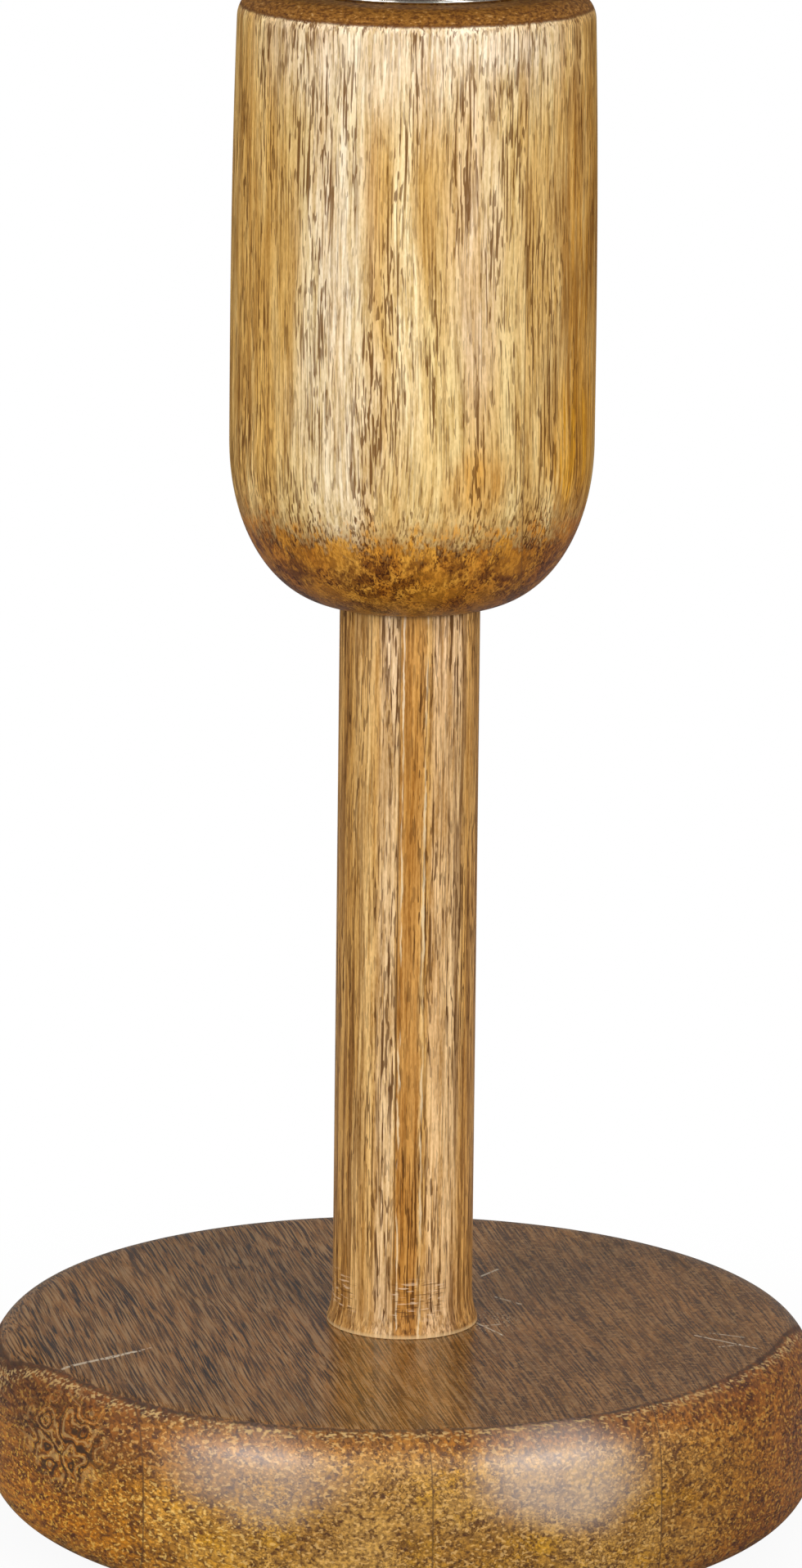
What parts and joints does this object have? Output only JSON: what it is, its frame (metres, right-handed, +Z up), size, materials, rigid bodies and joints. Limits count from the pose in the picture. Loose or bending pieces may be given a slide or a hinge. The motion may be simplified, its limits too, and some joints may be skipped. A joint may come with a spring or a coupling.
{
  "type": "pricket candle stand",
  "caption": "Turned wooden candle stand: thick round base, slender stem, round-bottomed cylindrical head, polished drip pan and a steel spike.",
  "frame": {"origin": "centre of the felt pad's underside, on the table", "axes": "+Z up along the turning axis, +Y away from the viewer of the picture, +X to the viewer's right"},
  "size_m": [0.15, 0.15, 0.3114],
  "materials": {
    "felt": "matt felt",
    "base_wood": "satin lacquer on light brown hardwood",
    "stem_wood": "satin lacquer on light brown hardwood",
    "head_wood": "satin lacquer on light brown hardwood",
    "plated_steel": "zinc plated",
    "pan_metal": "polished nickel plate",
    "spike_metal": "polished nickel plate"
  },
  "bodies": {
    "root": {"felt_pad": "felt", "base": "base_wood", "stem": "stem_wood", "head": "head_wood", "tie_rod": "plated_steel", "tie_rod_nut": "plated_steel", "lock_washer": "plated_steel", "tie_rod_washer": "plated_steel", "drip_pan": "pan_metal", "pricket": "spike_metal"}
  },
  "joints": []
}
